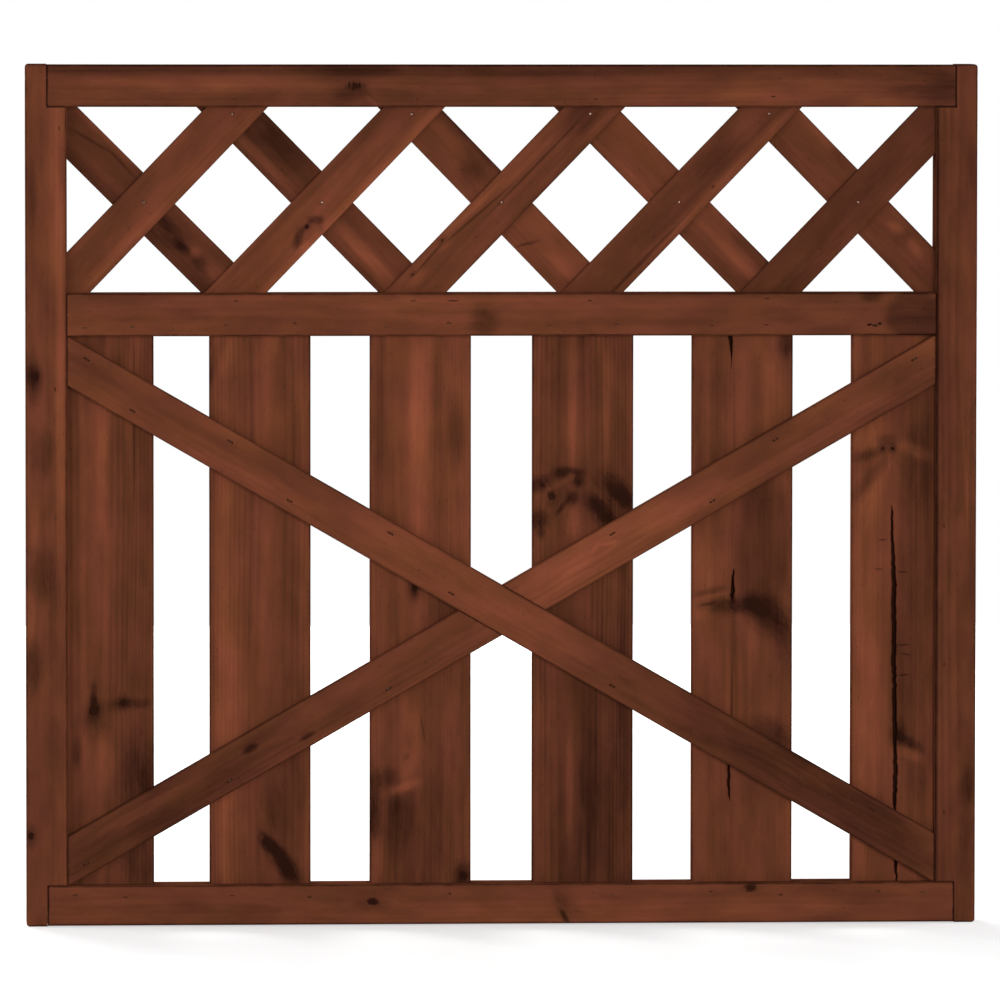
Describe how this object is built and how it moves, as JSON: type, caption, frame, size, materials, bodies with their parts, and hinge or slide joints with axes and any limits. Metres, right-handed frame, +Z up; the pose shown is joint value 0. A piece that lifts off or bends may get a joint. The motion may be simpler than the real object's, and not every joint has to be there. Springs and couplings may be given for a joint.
{
  "type": "wooden garden gate",
  "caption": "Wooden garden gate: grooved frame with a diagonal lattice above, upright slats below and crossed braces in front. No hinges or latch.",
  "frame": {"origin": "on the ground under the gate's middle, halfway through its depth", "axes": "+X along the gate's width to the right as seen from the front, -Y out of the front, +Z up"},
  "size_m": [1, 0.044, 0.905],
  "materials": {
    "frame_wood": "reddish brown stain, satin",
    "slat_wood": "reddish brown stain, satin",
    "lath_wood": "reddish brown stain, satin",
    "brace_wood": "reddish brown stain, satin",
    "zinc_steel": "zinc plated",
    "staple_steel": "dull, part covered by stain"
  },
  "bodies": {
    "root": {"bottom_rail": "frame_wood", "bottom_rail_left_screw_back": "zinc_steel", "bottom_rail_left_screw_front": "zinc_steel", "bottom_rail_right_screw_back": "zinc_steel", "bottom_rail_right_screw_front": "zinc_steel", "brace_over": "brace_wood", "brace_over_staple_1": "staple_steel", "brace_over_staple_2": "staple_steel", "brace_over_staple_3": "staple_steel", "brace_over_staple_4": "staple_steel", "brace_over_staple_5": "staple_steel", "brace_over_staple_6": "staple_steel", "brace_over_staple_7": "staple_steel", "brace_over_staple_8": "staple_steel", "brace_under": "brace_wood", "brace_under_staple_1": "staple_steel", "brace_under_staple_2": "staple_steel", "brace_under_staple_3": "staple_steel", "brace_under_staple_4": "staple_steel", "brace_under_staple_5": "staple_steel", "brace_under_staple_6": "staple_steel", "brace_under_staple_7": "staple_steel", "lattice_front_lath_1": "lath_wood", "lattice_front_lath_2": "lath_wood", "lattice_front_lath_3": "lath_wood", "lattice_front_lath_4": "lath_wood", "lattice_front_lath_5": "lath_wood", "lattice_middle_nail_1": "zinc_steel", "lattice_middle_nail_2": "zinc_steel", "lattice_middle_nail_3": "zinc_steel", "lattice_middle_nail_4": "zinc_steel", "lattice_middle_nail_5": "zinc_steel", "lattice_rear_lath_1": "lath_wood", "lattice_rear_lath_2": "lath_wood", "lattice_rear_lath_3": "lath_wood", "lattice_rear_lath_4": "lath_wood", "lattice_rear_lath_5": "lath_wood", "lattice_upper_nail_1": "zinc_steel", "lattice_upper_nail_2": "zinc_steel", "lattice_upper_nail_3": "zinc_steel", "lattice_upper_nail_4": "zinc_steel", "left_stile": "frame_wood", "middle_rail": "frame_wood", "middle_rail_left_screw_back": "zinc_steel", "middle_rail_left_screw_front": "zinc_steel", "middle_rail_right_screw_back": "zinc_steel", "middle_rail_right_screw_front": "zinc_steel", "right_stile": "frame_wood", "slat_1": "slat_wood", "slat_2": "slat_wood", "slat_3": "slat_wood", "slat_4": "slat_wood", "slat_5": "slat_wood", "slat_6": "slat_wood", "top_rail": "frame_wood", "top_rail_left_screw_back": "zinc_steel", "top_rail_left_screw_front": "zinc_steel", "top_rail_right_screw_back": "zinc_steel", "top_rail_right_screw_front": "zinc_steel"}
  },
  "joints": []
}
